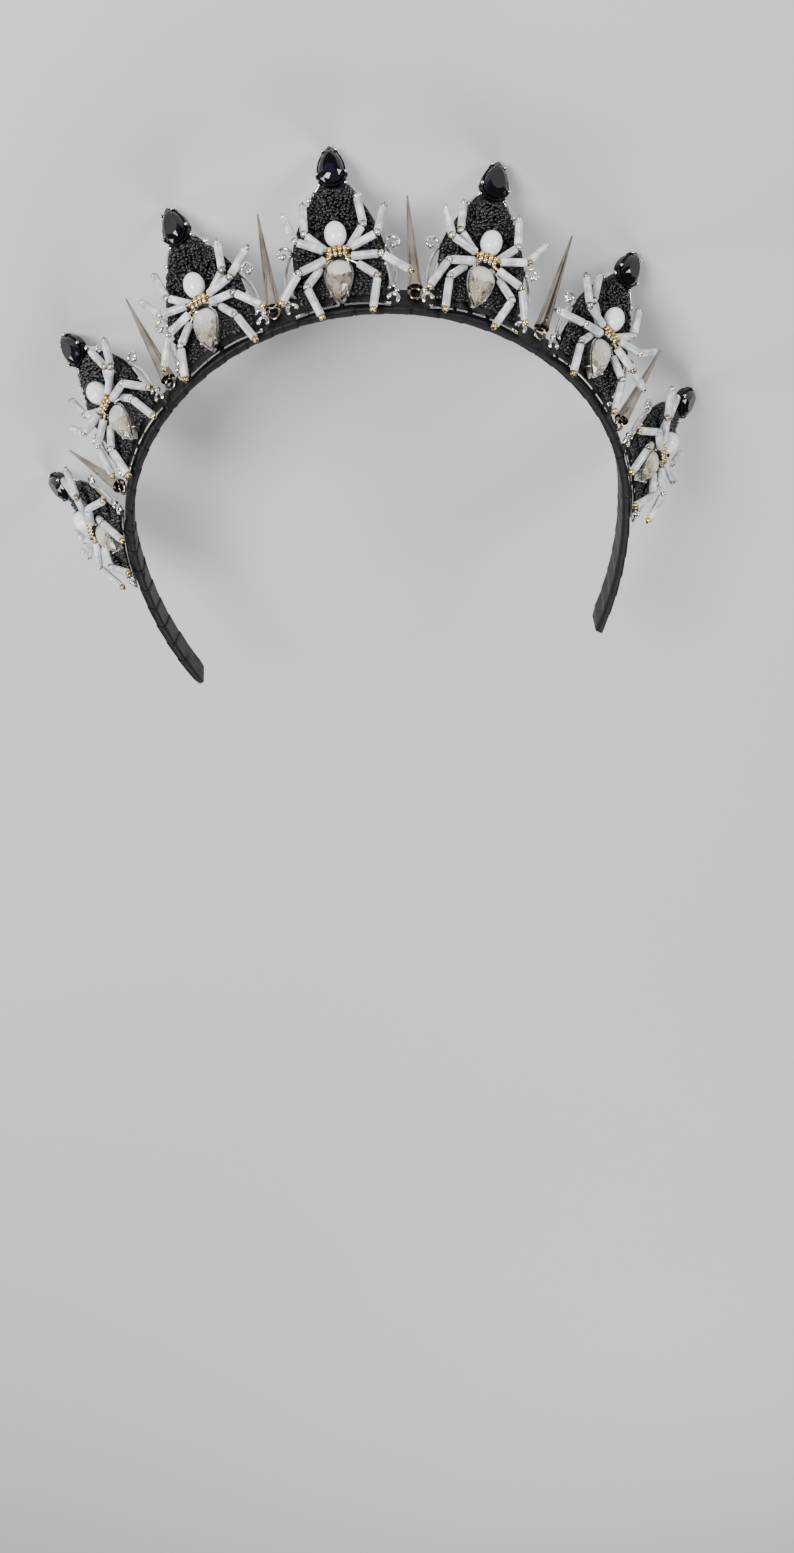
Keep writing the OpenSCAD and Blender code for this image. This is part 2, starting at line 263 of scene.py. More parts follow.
def noiseAt(tree, vector, scale, detail=3, roughness=0.5):
    inputs = {"Vector": vector, "Scale": scale, "Detail": detail, "Roughness": roughness}
    return firstOf(tree, "ShaderNodeTexNoise", inputs)


def spreadTo(tree, factor, low, high):
    return firstOf(tree, "ShaderNodeMapRange", {"Value": factor, "To Min": low, "To Max": high})


def bumpBy(tree, shader, height, strength, distance):
    bump = addNode(tree, "ShaderNodeBump", {"Height": height, "Strength": strength, "Distance": distance})
    tree.links.new(bump.outputs["Normal"], shader.inputs["Normal"])


def setSockets(shader, values):
    for name, value in values.items():
        shader.inputs[name].default_value = value


def colourBy(tree, shader, factor, stops):
    tree.links.new(rampBetween(tree, factor, stops), shader.inputs["Base Color"])


def roughBy(tree, shader, factor, low, high):
    tree.links.new(spreadTo(tree, factor, low, high), shader.inputs["Roughness"])


def objectCoords(tree):
    return addNode(tree, "ShaderNodeTexCoord").outputs["Object"]


def uvCoords(tree):
    return addNode(tree, "ShaderNodeUVMap", uv_map="UVMap").outputs["UV"]


def toneOf(tree):
    return addNode(tree, "ShaderNodeAttribute", attribute_name="tone").outputs["Fac"]


def grainLook(name, stops, rough, coarse=(315, 5), fine=(3600, 4), bump=(0.25, 0.05 * mm), metallic=1.0):
    # coarse noise (its scale and detail) for the colour, and fine noise for the roughness and the bump
    material, tree, shader = newMaterial(name)
    coords = objectCoords(tree)
    grain = noiseAt(tree, coords, *fine)
    colourBy(tree, shader, noiseAt(tree, coords, *coarse), stops)
    roughBy(tree, shader, grain, *rough)
    bumpBy(tree, shader, grain, *bump)
    setSockets(shader, {"Metallic": metallic})
    return material


silverMetal = grainLook("silverPlate", [(0.32, (0.5, 0.48, 0.45)), (0.6, (0.9, 0.885, 0.86))], (0.12, 0.32))
# dark metal for the plate's flat and the black stones' settings, and painted shade on the spiders' waist
# blocks
darkMetal = grainLook(
    "darkenedSilver", [(0.32, (0.012, 0.011, 0.011)), (0.6, (0.05, 0.048, 0.046))], (0.252, 0.672))
goldMetal = grainLook("goldPlate", [(0.32, (0.42, 0.26, 0.08)), (0.6, (0.84, 0.58, 0.22))], (0.12, 0.32))
spikeMetal = grainLook(
    "spikeSteel", [(0.3, (0.23, 0.185, 0.15)), (0.7, (0.43, 0.375, 0.32))], (0.08, 0.2),
    coarse=(160, 4), fine=(2600, 3), bump=(0.1, 0.03 * mm))
hoopLining = grainLook(
    "hoopLining", [(0.3, (0.0015, 0.0015, 0.002)), (0.7, (0.005, 0.0045, 0.006))], (0.6, 0.85),
    coarse=(1800, 4), fine=(1800, 4), bump=(0.5, 0.1 * mm), metallic=0.0)


def railLook():
    # a thin bright line along the rail's outer side, broken where dark thread crosses it
    material, tree, shader = newMaterial("threadedRail")
    fromAxis = calcVector(tree, "SUBTRACT", {0: objectCoords(tree), 1: (0, layout["archY"], 0)})
    level = calcVector(tree, "MULTIPLY", {0: fromAxis, 1: (1, 1, 0)})
    away = addNode(tree, "ShaderNodeVectorMath", {0: level}, operation="LENGTH").outputs["Value"]
    inner = layout["archRadius"] + 0.42 * mm
    edge = {"Value": away, "From Min": inner, "From Max": inner + 0.06 * mm}
    line = firstOf(tree, "ShaderNodeMapRange", edge)
    place = partsOf(tree, level)
    along = {"W": calc(tree, "ARCTAN2", place["X"], place["Y"]), "Scale": 32.0, "Detail": 1.0}
    wraps = firstOf(tree, "ShaderNodeTexNoise", along, noise_dimensions="1D")
    crossing = rampBetween(tree, wraps, [(0.38, (0, 0, 0)), (0.41, (1, 1, 1))])
    bare = calc(tree, "MULTIPLY", line, crossing)
    colourBy(tree, shader, bare, [(0.3, (0.01, 0.009, 0.011)), (0.7, (0.88, 0.86, 0.82))])
    roughBy(tree, shader, bare, 0.6, 0.2)
    setSockets(shader, {"Metallic": 1.0})
    return material


threadedRail = railLook()


def blackBeadLook():
    material, tree, shader = newMaterial("blackBeadGlass")
    stops = [(0.0, (0.001, 0.001, 0.0015)), (0.85, (0.004, 0.0035, 0.005)), (1.0, (0.03, 0.028, 0.032))]
    colourBy(tree, shader, toneOf(tree), stops)
    roughBy(tree, shader, noiseAt(tree, objectCoords(tree), 1500, 3), 0.05, 0.2)
    setSockets(shader, {"IOR": 1.5, "Coat Weight": 0.15, "Coat Roughness": 0.05})
    return material


blackBead = blackBeadLook()


def blackStoneLook():
    material, tree, shader = newMaterial("blackCrystal")
    coords = objectCoords(tree)
    # Voronoi cells paint faint bluish glints into the colour, a painted reflection as if from facets inside
    # the stone
    paintedGlintCells = addNode(tree, "ShaderNodeTexVoronoi", {"Vector": coords, "Scale": 420.0}).outputs["Color"]
    split = firstOf(tree, "ShaderNodeSeparateColor", {"Color": paintedGlintCells})
    stops = [(0.0, (0.001, 0.001, 0.0015)), (0.8, (0.002, 0.002, 0.004)), (1.0, (0.008, 0.008, 0.018))]
    colourBy(tree, shader, split, stops)
    roughBy(tree, shader, noiseAt(tree, coords, 700, 3), 0.02, 0.08)
    setSockets(shader, {"IOR": 1.5})
    return material


blackCrystal = blackStoneLook()


def clearStoneLook():
    material, tree, shader = newMaterial("clearCrystal")
    cloud = noiseAt(tree, objectCoords(tree), 500, 2)
    colourBy(tree, shader, cloud, [(0.3, (0.985, 0.965, 0.93)), (0.7, (1.0, 0.995, 0.98))])
    roughBy(tree, shader, cloud, 0.0, 0.03)
    setSockets(shader, {"IOR": 1.55, "Transmission Weight": 1.0})
    return material


clearCrystal = clearStoneLook()


def foilLook():
    material, tree, shader = newMaterial("stoneFoil")
    grain = spreadTo(tree, noiseAt(tree, objectCoords(tree), 2500, 2), -0.06, 0.06)
    shade = calc(tree, "ADD", toneOf(tree), grain)
    # tone 1 is the painted highlight: white and less metallic; lower tones are each facet's random
    # brightness
    stops = [
        (0.1, (0.5, 0.42, 0.33)), (0.45, (0.86, 0.76, 0.6)),
        (0.8, (0.98, 0.95, 0.88)), (1.0, (1.0, 1.0, 0.98)),
    ]
    colourBy(tree, shader, shade, stops)
    roughBy(tree, shader, shade, 0.1, 0.5)
    metallic = rampBetween(tree, shade, [(0.8, (1, 1, 1)), (0.95, (0.15, 0.15, 0.15))])
    tree.links.new(metallic, shader.inputs["Metallic"])
    return material


stoneFoil = foilLook()


def whiteGlassLook():
    # satin white glass with faint streaks along the tube, from the tube's own UV map
    material, tree, shader = newMaterial("whiteTubeGlass")
    stretch = firstOf(tree, "ShaderNodeMapping", {"Vector": uvCoords(tree), "Scale": (26, 1.2, 1)})
    streak = noiseAt(tree, stretch, 1.0, 3, 0.6)
    both = calc(tree, "ADD", streak, noiseAt(tree, objectCoords(tree), 350, 2))
    stops = [(0.42, (0.36, 0.375, 0.4)), (0.52, (0.58, 0.595, 0.62)), (0.58, (0.92, 0.92, 0.92))]
    colourBy(tree, shader, calc(tree, "MULTIPLY", both, 0.5), stops)
    roughBy(tree, shader, streak, 0.22, 0.42)
    bumpBy(tree, shader, streak, 0.45, 0.06 * mm)
    setSockets(shader, {
        "Subsurface Weight": 0.12, "Subsurface Radius": (0.8 * mm, 0.8 * mm, 0.9 * mm),
        "Subsurface Scale": 1.0, "Coat Weight": 0.35, "Coat Roughness": 0.15,
    })
    return material


whiteGlass = whiteGlassLook()


def headLook():
    material, tree, shader = newMaterial("whiteOvalBead")
    coords = objectCoords(tree)
    stops = [(0.3, (0.84, 0.87, 0.91)), (0.7, (0.93, 0.94, 0.95))]
    colourBy(tree, shader, noiseAt(tree, coords, 220, 3), stops)
    roughBy(tree, shader, noiseAt(tree, coords, 900, 3), 0.14, 0.26)
    setSockets(shader, {
        "Subsurface Weight": 0.3, "Subsurface Radius": (1.4 * mm, 1.5 * mm, 1.7 * mm),
        "Subsurface Scale": 1.0, "Coat Weight": 0.5, "Coat Roughness": 0.08,
    })
    return material


whiteOval = headLook()


def linedBeadLook(name, light, dark):
    # clear glass over a metal lining, seen as a bright rim round a darker hole
    material, tree, shader = newMaterial(name)
    cloud = noiseAt(tree, objectCoords(tree), 1400, 2)
    mixed = firstOf(tree, "ShaderNodeMath", {0: toneOf(tree), 1: cloud, 2: 0.2}, operation="MULTIPLY_ADD")
    colourBy(tree, shader, mixed, [(0.2, dark), (0.6, light)])
    roughBy(tree, shader, cloud, 0.06, 0.26)
    setSockets(shader, {"Metallic": 0.85, "Coat Weight": 1.0, "Coat Roughness": 0.03})
    return material


silverBead = linedBeadLook("silverLinedBead", (0.9, 0.87, 0.79), (0.34, 0.29, 0.2))
paleGoldBead = linedBeadLook("paleGoldBead", (0.95, 0.82, 0.55), (0.5, 0.36, 0.16))
goldBead = linedBeadLook("goldLinedBead", (0.95, 0.68, 0.25), (0.5, 0.29, 0.06))


def ribbonLook(name, tint):
    # satin weave from the ribbon's own UV map, which is in millimetres
    material, tree, shader = newMaterial(name)
    coords = uvCoords(tree)

    def threadsAlong(way, scale, distortion):
        inputs = {"Vector": coords, "Scale": scale, "Distortion": distortion, "Detail": 2.0}
        return addNode(tree, "ShaderNodeTexWave", inputs, bands_direction=way).outputs["Fac"]

    weave = calc(tree, "MULTIPLY", threadsAlong("X", 1.3, 1.2), threadsAlong("Y", 1.7, 0.8))
    cloud = noiseAt(tree, coords, 0.35, 4, 0.6)
    shade = calc(tree, "MULTIPLY", calc(tree, "ADD", weave, cloud), 0.55)
    stops = [(at, tuple(share * c for c in tint)) for at, share in ((0.2, 0.45), (0.5, 1.0), (0.85, 1.7))]
    colourBy(tree, shader, shade, stops)
    roughBy(tree, shader, cloud, 0.45, 0.66)
    bumpBy(tree, shader, weave, 0.3, 0.06 * mm)
    setSockets(shader, {
        "Specular IOR Level": 0.28, "Sheen Weight": 0.03, "Sheen Roughness": 0.35, "Anisotropic": 0.4,
    })
    return material


blackRibbon = ribbonLook("blackRibbon", (0.0035, 0.003, 0.0042))
blackThread = ribbonLook("blackThread", (0.005, 0.0045, 0.006))
print("materials ready")

# The hoop, wound with one long ribbon

hoop = {
    "sideRadius": 140 * mm,
    "sideTurn": 22,
    "width": 10 * mm,
    "thickness": 2.8 * mm,
    "front": 4 * mm,
    "padding": 0.34 * mm,  # how far the bare core lies inside the wound surface
    "corner": 0.75 * mm,
    "leastCorner": 0.2 * mm,
    "tipSize": 0.86,  # the core's tips are a little smaller than its section
    "coreSteps": 120,
    "pathSteps": 180,
    "ribbonWidth": 10.0 * mm,
    "ribbonPitch": 7.6 * mm,
    "ribbonThickness": 0.13 * mm,
    "seat": 0.04 * mm,  # how far the ribbon lies off the core
    "ease": 1.2 * mm,  # what a turn of ribbon needs over the girth
    "lift": 0.3 * mm,  # how far a turn rides up on the one before
    "crease": 0.16 * mm,
    "stepsPerTurn": 44,
    "stepsAcross": 8,
}
middleRadius = layout["archRadius"] - hoop["thickness"] / 2
middleHeight = layout["archZ"] + hoop["front"] - hoop["width"] / 2


def hoopPath(steps):
    # the middle line of the hoop, from the wearer's left end over the top to the right end
    side = hoop["sideRadius"] - hoop["thickness"] / 2
    middle = layout["archRadius"] - hoop["sideRadius"]
    turn = math.radians(hoop["sideTurn"])
    sideSteps = steps // 6
    turns = [turn * (1 - k / sideSteps) for k in range(sideSteps)]
    left = [(middle + side * math.cos(a), -side * math.sin(a)) for a in turns]
    arch = [math.pi * k / steps for k in range(steps + 1)]
    top = [(middleRadius * math.cos(a), middleRadius * math.sin(a)) for a in arch]
    line = left + top + [(-x, y) for x, y in reversed(left)]
    return [Vector((x, y + layout["archY"], middleHeight)) for x, y in line]


def sectionLoop(inset, cornerSteps=5):
    # the hoop's rounded cross-section: x outward, y along the width, counter-clockwise
    halfT = hoop["thickness"] / 2 - inset
    halfW = hoop["width"] / 2 - inset
    r = max(hoop["leastCorner"], hoop["corner"] - inset / 2)
    loop = []
    for quarter, (sx, sy) in enumerate(((1, 1), (-1, 1), (-1, -1), (1, -1))):
        for k in range(cornerSteps + 1):
            a = math.radians(90 * (quarter + k / cornerSteps))
            loop.append((sx * (halfT - r) + r * math.cos(a), sy * (halfW - r) + r * math.sin(a)))
    return loop


def makeCore():
    path = hoopPath(hoop["coreSteps"])
    last = len(path) - 1
    loop = sectionLoop(hoop["padding"])
    count = len(loop)
    points = []
    for k, point in enumerate(path):
        ahead = path[min(k + 1, last)] - path[max(k - 1, 0)]
        out = ahead.cross(Vector((0, 0, 1))).normalized()
        size = hoop["tipSize"] if k in (0, last) else 1.0
        points += [point + out * x * size + Vector((0, 0, y * size)) for x, y in loop]
    faces = []
    for a in range(0, last * count, count):
        faces += [
            (a + b, a + (b + 1) % count, a + count + (b + 1) % count, a + count + b) for b in range(count)
        ]
    faces += [tuple(range(count))[::-1], tuple(last * count + b for b in range(count))]
    mesh = meshOf("hoopCore", points, faces)
    faceOutward(mesh)
    mesh.shade_smooth()
    return makeObject("hoopCore", mesh, hoopLining)


def woundRibbonTree():
    tree, given, result = newTree("woundRibbon", [
        ("Section", "Object"), ("Ribbon Width", "Float"), ("Pitch", "Float"), ("Lift", "Float"),
        ("Crease", "Float"), ("Steps Along", "Int"), ("Steps Across", "Int"), ("Material", "Material"),
    ])

    def value(operation, a, b=0.0):
        return calc(tree, operation, a, b)

    path = curveOf(tree, given["Geometry"])
    loop = curveOf(tree, shapeOf(tree, given["Section"]))
    grid = firstOf(tree, "GeometryNodeMeshGrid", {
        "Size X": 1.0, "Size Y": 1.0,
        "Vertices X": given["Steps Along"], "Vertices Y": given["Steps Across"],
    })
    place = partsOf(tree, firstOf(tree, "GeometryNodeInputPosition"))
    u = value("ADD", place["X"], 0.5)
    v = value("ADD", place["Y"], 0.5)
    pathSize = firstOf(tree, "GeometryNodeCurveLength", {"Curve": path})
    wound = value("MULTIPLY", u, value("SUBTRACT", pathSize, given["Ribbon Width"]))
    along = value("ADD", wound, value("MULTIPLY", v, given["Ribbon Width"]))
    turns = value("DIVIDE", wound, given["Pitch"])
    share = value("FRACT", turns)
    sampler = "GeometryNodeSampleCurve"
    onPath = addNode(tree, sampler, {"Curves": path, "Length": along}, mode="LENGTH").outputs
    onLoop = addNode(tree, sampler, {"Curves": loop, "Factor": share}, mode="FACTOR").outputs
    out = calcVector(tree, "CROSS_PRODUCT", {0: onPath["Tangent"], 1: (0, 0, 1)})
    out = calcVector(tree, "NORMALIZE", {0: out})
    spot = partsOf(tree, onLoop["Position"])
    heading = partsOf(tree, onLoop["Tangent"])
    # creases run along the ribbon and change from turn to turn
    creaseAt = combine(tree, value("MULTIPLY", turns, 2.2), value("MULTIPLY", v, 4.5), 3.7)
    crease = value("MULTIPLY", value("SUBTRACT", noiseAt(tree, creaseAt, 1.0, 2), 0.5), given["Crease"])
    rise = value("MULTIPLY", value("SUBTRACT", 1.0, v), given["Lift"])
    height = value("ADD", rise, crease)
    x = value("ADD", spot["X"], value("MULTIPLY", heading["Y"], height))
    y = value("SUBTRACT", spot["Y"], value("MULTIPLY", heading["X"], height))
    aside = calcVector(tree, "SCALE", {0: out, "Scale": x})
    there = calcVector(tree, "ADD", {0: onPath["Position"], 1: aside})
    there = calcVector(tree, "ADD", {0: there, 1: combine(tree, z=y)})
    # the UV map in mm: some 25 round a turn, and 10 across
    uvHere = combine(tree, value("MULTIPLY", turns, 25.0), value("MULTIPLY", v, 10.0))
    stored = {"Geometry": grid, "Name": "UVMap", "Value": uvHere}
    mapped = firstOf(tree, "GeometryNodeStoreNamedAttribute", stored, data_type="FLOAT2", domain="CORNER")
    shaped = firstOf(tree, "GeometryNodeSetPosition", {"Geometry": mapped, "Position": there})
    flipped = firstOf(tree, "GeometryNodeFlipFaces", {"Mesh": shaped})
    return endTree(tree, smoothed(tree, flipped), given, result)


def pathLength(points):
    return sum((b - a).length for a, b in zip(points, points[1:]))


core = makeCore()
pathPoints = hoopPath(hoop["pathSteps"])
loopPoints = sectionLoop(hoop["padding"] - hoop["seat"])
sectionShape = loopObject("ribbonSection", loopPoints)
ribbonTurns = (pathLength(pathPoints) - hoop["ribbonWidth"]) / hoop["ribbonPitch"]
pathEdges = [(k, k + 1) for k in range(len(pathPoints) - 1)]
ribbon = makeObject("woundRibbon", meshOf("woundRibbon", pathPoints, [], pathEdges))
runTree(ribbon, woundRibbonTree(), {
    "Section": sectionShape, "Ribbon Width": hoop["ribbonWidth"], "Pitch": hoop["ribbonPitch"],
    "Lift": hoop["lift"], "Crease": hoop["crease"], "Steps Along": int(ribbonTurns * hoop["stepsPerTurn"]),
    "Steps Across": hoop["stepsAcross"], "Material": blackRibbon,
})
shell = ribbon.modifiers.new("thickness", "SOLIDIFY")
shell.thickness = hoop["ribbonThickness"]
shell.offset = -1
drop(sectionShape)

# Threads that bind each ornament to the hoop

threads = {
    "thickness": 0.18 * mm,
    "sink": 0.15 * mm,  # how far they press into the wound ribbon's surface
    # the middles of the groups across a plaque and a spike (mm), the turns in each, and how far they spread
    "onPlaque": (-10.2, -3.4, 3.4, 10.2),
    "onSpike": (-1.5, 1.5),
    "turns": (3, 8),
    "spread": 0.8,
    "slant": (0.16, 0.1, 0.02),
    "seed": 8,
}


def boundThreadTree():
    tree, given, result = newTree("boundThreads", [
        ("Loop", "Object"), ("Thickness", "Float"), ("Seed", "Int"), ("Material", "Material"),
    ])
    points = firstOf(tree, "GeometryNodeMeshToPoints", {"Mesh": given["Geometry"]})
    most = threads["slant"]
    slant = firstOf(tree, "FunctionNodeRandomValue", {
        "Min": tuple(-a for a in most), "Max": most, "Seed": given["Seed"],
    }, data_type="FLOAT_VECTOR")
    slanted = firstOf(tree, "FunctionNodeRotateRotation", {
        0: turnBy(tree, vectorAttribute(tree, "way")), 1: turnBy(tree, slant),
    }, rotation_space="LOCAL")
    placed = firstOf(tree, "GeometryNodeInstanceOnPoints", {
        "Points": points, "Instance": curveOf(tree, shapeOf(tree, given["Loop"])), "Rotation": slanted,
    })
    ring = firstOf(tree, "GeometryNodeCurvePrimitiveCircle", {"Resolution": 6, "Radius": given["Thickness"]})
    tube = firstOf(tree, "GeometryNodeCurveToMesh", {"Curve": placed, "Profile Curve": ring})
    return endTree(tree, smoothed(tree, tube), given, result)


def vectorHost(name, rows):
    # points that carry a vector "way" and a vector "stretch"
    mesh = meshOf(name, [row[0] for row in rows], [])
    for column, label in ((1, "way"), (2, "stretch")):
        if len(rows[0]) > column:
            attribute = mesh.attributes.new(label, "FLOAT_VECTOR", "POINT")
            for k, row in enumerate(rows):
                attribute.data[k].vector = row[column]
    return makeObject(name, mesh)


def makeThreads():
    loopShape = loopObject("threadLoop", sectionLoop(threads["sink"]))
    dice = random.Random(threads["seed"])
    groups = [(row.angle, x) for row in layout["plaques"] for x in threads["onPlaque"]]
    groups += [(angle, x) for angle in layout["spikes"] for x in threads["onSpike"]]
    places = [
        middle + math.degrees((x + dice.gauss(0, 0.5) * threads["spread"]) * mm / middleRadius)
        for middle, x in groups for turn in range(dice.randint(*threads["turns"]))
    ]
    rows = []
    for place in places:
        a = math.radians(90 - place)
        spot = Vector((
            middleRadius * math.cos(a), middleRadius * math.sin(a) + layout["archY"], middleHeight,
        ))
        # the loop's x axis points outward, its y axis up the width
        frameAt = Matrix(((math.cos(a), 0, math.sin(a)), (math.sin(a), 0, -math.cos(a)), (0, 1, 0)))
        rows.append((spot, Vector(frameAt.to_euler())))
    host = vectorHost("boundThreads", rows)
    runTree(host, boundThreadTree(), {
        "Loop": loopShape, "Thickness": threads["thickness"] / 2, "Seed": 5, "Material": blackThread,
    })
    drop(loopShape)
    return host


boundThreads = makeThreads()
print("threads bound")

# Beads that lie at given places: tubes, knee beads, tip beads and waist beads


def beadsOn(tree, given, points, facing, size):
    # a bead at every point, each with a brightness of its own
    placed = firstOf(tree, "GeometryNodeInstanceOnPoints", {
        "Points": points, "Instance": shapeOf(tree, given["Bead"], True), "Rotation": facing, "Scale": size,
    })
    inputs = {"Geometry": placed, "Name": "tone", "Value": randomFloat(tree, 0.0, 1.0, given["Seed"])}
    return firstOf(tree, "GeometryNodeStoreNamedAttribute", inputs, data_type="FLOAT", domain="INSTANCE")


def placedBeadTree():
    sockets = [("Bead", "Object"), ("Seed", "Int"), ("Material", "Material")]
    tree, given, result = newTree("placedBeads", sockets)
    points = firstOf(tree, "GeometryNodeMeshToPoints", {"Mesh": given["Geometry"]})
    way = vectorAttribute(tree, "way")
    pointing = firstOf(tree, "FunctionNodeAlignRotationToVector", {"Vector": way}, axis="Z")
    about = turnBy(tree, combine(tree, z=randomFloat(tree, 0.0, fullTurn, given["Seed"])))
    facing = firstOf(tree, "FunctionNodeRotateRotation", {0: pointing, 1: about}, rotation_space="LOCAL")
    beads = beadsOn(tree, given, points, facing, vectorAttribute(tree, "stretch"))
    return endTree(tree, beads, given, result)


beadTree = placedBeadTree()


def strung(name, rows, bead, seed, material):
    return runTree(vectorHost(name, rows), beadTree, {"Bead": bead, "Seed": seed, "Material": material})


legs = {
    "tubeRadius": 1.1 * mm,
    "bore": 0.55 * mm,
    "tubeLength": 7.0 * mm,  # the shape's own length, stretched to each tube's
    "edge": 0.09 * mm,
    "kneeBead": 1.95 * mm,
    "kneeHole": 0.36 * mm,
    "kneeLength": 1.28 * mm,
    "kneeReach": 0.8 * mm,
    "kneeSlack": 0.25 * mm,  # how far apart two tubes' knee points may lie
    "tipReach": 0.7 * mm,  # from the tube's end to the tip bead's middle
    "giltTop": 5 * mm,
    "knot": 0.95 * mm,
    "knotHole": 0.02 * mm,
    "knotLength": 0.75 * mm,
    "knotReach": 1.48 * mm,  # from the tube's end to the knot's middle
    "hipOut": 4.1 * mm,
}


def tubeShape():
    r, b, h, e = legs["tubeRadius"], legs["bore"], legs["tubeLength"] / 2, legs["edge"]
    profile = [
        (r, -h + e), (r, -h / 3), (r, h / 3), (r, h - e), (r - 0.35 * e, h - 0.25 * e), (r - e, h),
        (b + 0.5 * e, h), (b, h - 0.7 * e), (b, -h + 0.7 * e), (b + 0.5 * e, -h), (r - e, -h),
        (r - 0.35 * e, -h + 0.25 * e),
    ]
    return turnedShape("tubeShape", profile, 24)


def roundShape(name, diameter, hole, length, sides=14, rings=7):
    # a round bead with flattened ends and a hole
    profile = []
    for k in range(rings + 1):
        a = math.pi * (k / rings - 0.5)
        profile.append((hole + (diameter / 2 - hole) * math.cos(a) ** 0.75, length / 2 * math.sin(a)))
    profile[0] = (hole, -length / 2 * 0.9)
    profile[-1] = (hole, length / 2 * 0.9)
    return turnedShape(name, profile, sides)


def loosePieces(mesh):
    # the corners of each separate tube, from a merged copy of the node's mesh
    work = bmesh.new()
    work.from_mesh(mesh)
    bmesh.ops.remove_doubles(work, verts=work.verts, dist=1e-6)
    seen, found = set(), []
    for start in work.verts:
        if start.index in seen:
            continue
        stack, piece = [start], []
        seen.add(start.index)
        while stack:
            vert = stack.pop()
            piece.append(vert.co.copy())
            for edge in vert.link_edges:
                other = edge.other_vert(vert)
                if other.index not in seen:
                    seen.add(other.index)
                    stack.append(other)
        found.append(piece)
    work.free()
    return found


def tubeEnds(piece):
    # a tube's two end middles: its corners fall in two flat rings
    reach = 2.3 * legs["tubeRadius"]
    first = max(piece, key=lambda p: (p - piece[0]).length)
    ringA = [p for p in piece if (p - first).length < reach]
    ringB = [p for p in piece if (p - first).length >= reach]
    return sum(ringA, Vector()) / len(ringA), sum(ringB, Vector()) / len(ringB)


def legsOf(number, row):
    # the hip end, knee and tip end of a spider's eight legs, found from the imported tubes
    middle = onSpider(row) @ Vector((0, layout["waistUp"], legs["hipOut"]))
    tubes = [tubeEnds(piece) for piece in loosePieces(cadNodes[f"leg_beads_{number}"].data)]
    ends = []  # the tube, which of its ends, where a knee at that end would lie, and the end itself
    for index, (a, b) in enumerate(tubes):
        way = (b - a).normalized()
        ends.append((index, 0, a - way * legs["kneeReach"], a))
        ends.append((index, 1, b + way * legs["kneeReach"], b))
    pairs = sorted(
        ((p[2] - q[2]).length, i, j)
        for i, p in enumerate(ends) for j, q in enumerate(ends) if i < j and p[0] != q[0]
    )
    used, found = set(), []
    for gap, i, j in pairs:
        if gap > legs["kneeSlack"] or ends[i][0] in used or ends[j][0] in used:
            continue
        used |= {ends[i][0], ends[j][0]}
        knee = (ends[i][2] + ends[j][2]) / 2
        others = [tubes[ends[k][0]][1 - ends[k][1]] for k in (i, j)]
        (hip, upper), (tip, lower) = sorted(
            zip(others, (ends[i], ends[j])), key=lambda pair: (pair[0] - middle).length)
        found.append({"hip": hip, "knee": knee, "tip": tip, "near": upper[3], "far": lower[3]})
    return found


tube = tubeShape()
kneeShape = roundShape("kneeShape", legs["kneeBead"], legs["kneeHole"], legs["kneeLength"])
knotShape = roundShape("knotShape", legs["knot"], legs["knotHole"], legs["knotLength"], 10, 5)
asMade = (1, 1, 1)


def stringLegs(number, row):
    found = legsOf(number, row)
    if len(found) != 8:
        print(f"spider {number}: {len(found)} legs found")
    tubeRows, kneeRows, tipRows, paleTips, knotRows = [], [], [], [], []
    for leg in found:
        for a, b in ((leg["hip"], leg["near"]), (leg["far"], leg["tip"])):
            tubeRows.append(((a + b) / 2, (b - a).normalized(), (1, 1, (b - a).length / legs["tubeLength"])))
        outWay = (leg["tip"] - leg["far"]).normalized()
        kneeWay = ((leg["near"] - leg["hip"]).normalized() + outWay).normalized()
        kneeRows.append((leg["knee"], kneeWay, asMade))
        # tips lower than the waist are gold, except a high one on the side of negative x
        local = onSpider(row).inverted() @ leg["tip"]
        gilt = local.y < layout["waistUp"] and not (local.x < 0 and local.y > legs["giltTop"])
        (tipRows if gilt else paleTips).append((leg["tip"] + outWay * legs["tipReach"], outWay, asMade))
        knotRows.append((leg["tip"] + outWay * legs["knotReach"], outWay, asMade))
    return {
        "tubes": strung(f"legTubes_{number}", tubeRows, tube, number, whiteGlass),
        "knees": strung(f"kneeBeads_{number}", kneeRows + paleTips, kneeShape, 20 + number, silverBead),
        "tips": strung(f"tipBeads_{number}", tipRows, kneeShape, 40 + number, goldBead),
        "knots": strung(f"endKnots_{number}", knotRows, knotShape, 50 + number, blackBead),
    }


spiderPieces = [stringLegs(number, row) for number, row in enumerate(layout["plaques"], 1)]
print("legs strung")

# Gold beads round each waist, and the white head

waist = {
    "bead": 1.55 * mm,
    "hole": 0.3 * mm,
    "length": 1.25 * mm,
    "out": 4.1 * mm,
    "width": 4.8 * mm,
    "depth": 2.6 * mm,
    "sink": 0.1 * mm,  # how far the beads lie in towards the waist
    "step": 1.38 * mm,
    # gold and pale row: up the plaque from the waist's middle (mm), bead size, and how close the beads lie
    "rows": ((0.85, 1.0, 1.0), (-0.55, 0.9, 0.93)),
}
head = {"width": 6.0 * mm, "length": 7.4 * mm, "up": 18.2 * mm, "out": 4.8 * mm, "bore": 0.55 * mm}


def waistRow(place, up, size, close):
    # four beads across the front, and one at each side
    level = layout["waistUp"] + up * mm
    turn = place.to_3x3()
    rows = []
    front = waist["out"] + waist["depth"] / 2 - waist["sink"]
    for k in range(4):
        spot = Vector(((k - 1.5) * waist["step"] * close, level, front))
        rows.append((place @ spot, turn @ Vector((1, 0, 0)), (size, size, size)))
    for side in (-1, 1):
        spot = Vector((side * (waist["width"] / 2 + waist["sink"]), level, waist["out"] - waist["sink"]))
        rows.append((place @ spot, turn @ Vector((0, 0, 1)), (size, size, size)))
    return rows


